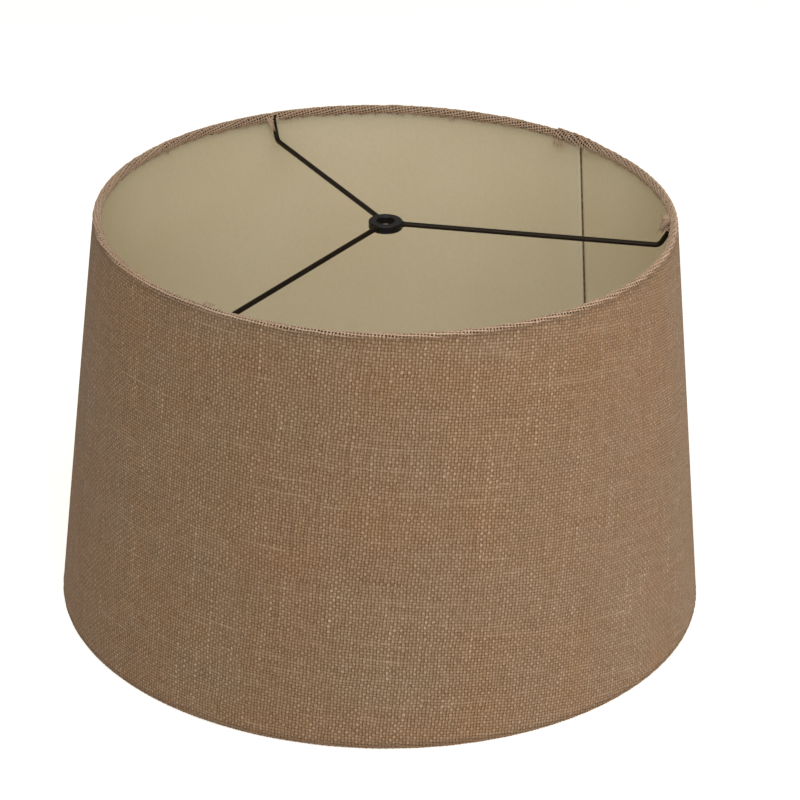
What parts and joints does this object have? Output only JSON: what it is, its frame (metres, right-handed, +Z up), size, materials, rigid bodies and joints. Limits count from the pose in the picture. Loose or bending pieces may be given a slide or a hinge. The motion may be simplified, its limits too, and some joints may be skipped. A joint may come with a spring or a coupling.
{
  "type": "lamp shade",
  "caption": "Tapered drum lamp shade of woven burlap on a smooth styrene liner, hems rolled over wire rings, with a recessed three-arm washer fitter.",
  "frame": {"origin": "centre of the bottom rim, on the plane the shade stands on", "axes": "+Z up along the shade's axis and out of the fitter hole's top; -Y is the front, with one arm pointing near +X"},
  "size_m": [0.4063, 0.4064, 0.2592],
  "materials": {
    "burlap": "coarse plain weave, matt",
    "liner": "smooth satin sheet",
    "black_wire": "semi-gloss black paint on steel",
    "ring_wire": "painted steel, hidden in the hems",
    "tape": "clear adhesive film"
  },
  "bodies": {
    "root": {"burlap_cover": "burlap", "liner_panel": "liner", "seam_tape": "tape", "top_ring": "ring_wire", "bottom_ring": "ring_wire", "spider_washer": "black_wire", "spider_arm_back_left": "black_wire", "spider_arm_front_left": "black_wire", "spider_arm_right": "black_wire", "hub_weld_beads": "black_wire", "ring_weld_beads": "black_wire"}
  },
  "joints": []
}
